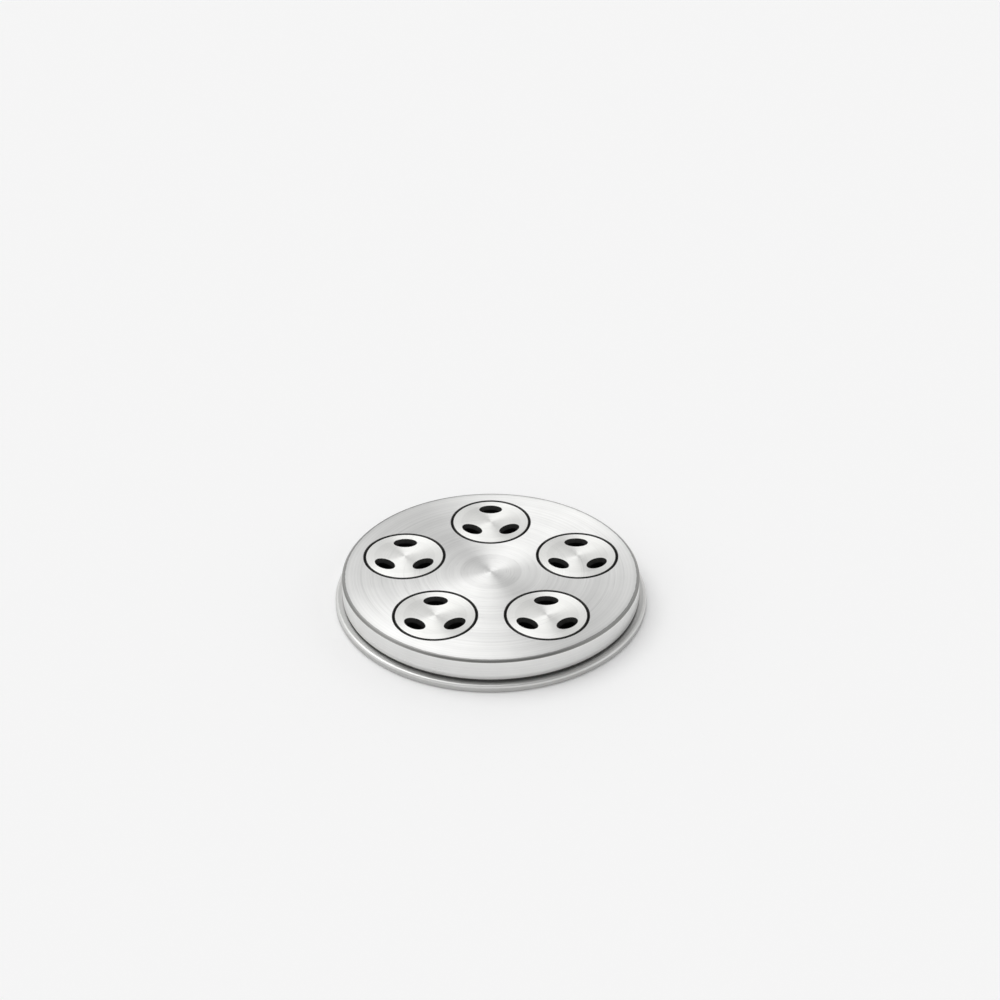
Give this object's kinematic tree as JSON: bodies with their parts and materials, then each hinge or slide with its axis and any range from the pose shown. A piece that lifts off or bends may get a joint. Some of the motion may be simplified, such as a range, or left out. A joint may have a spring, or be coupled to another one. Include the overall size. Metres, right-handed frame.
{
  "type": "pasta extrusion die",
  "caption": "Round flanged pasta extrusion die with round inserts set in its face, each with small elliptical slots that shape linguine.",
  "frame": {"origin": "centre of the flat inlet face, on the axis of the disc", "axes": "+Z along the disc's axis, the way the dough leaves; +Y towards the insert that stands at the back in the picture; +X to its right seen from the outlet side"},
  "size_m": [0.05, 0.05, 0.0049],
  "materials": {
    "turned_disc_metal": "satin, turned",
    "lapped_insert_metal": "fine satin, lapped flush with the face",
    "seal_plastic": "matte white"
  },
  "bodies": {
    "root": {"die_body": "turned_disc_metal", "insert_1": "lapped_insert_metal", "insert_2": "lapped_insert_metal", "insert_3": "lapped_insert_metal", "insert_4": "lapped_insert_metal", "insert_5": "lapped_insert_metal", "insert_seal_1": "seal_plastic", "insert_seal_2": "seal_plastic", "insert_seal_3": "seal_plastic", "insert_seal_4": "seal_plastic", "insert_seal_5": "seal_plastic"}
  },
  "joints": []
}
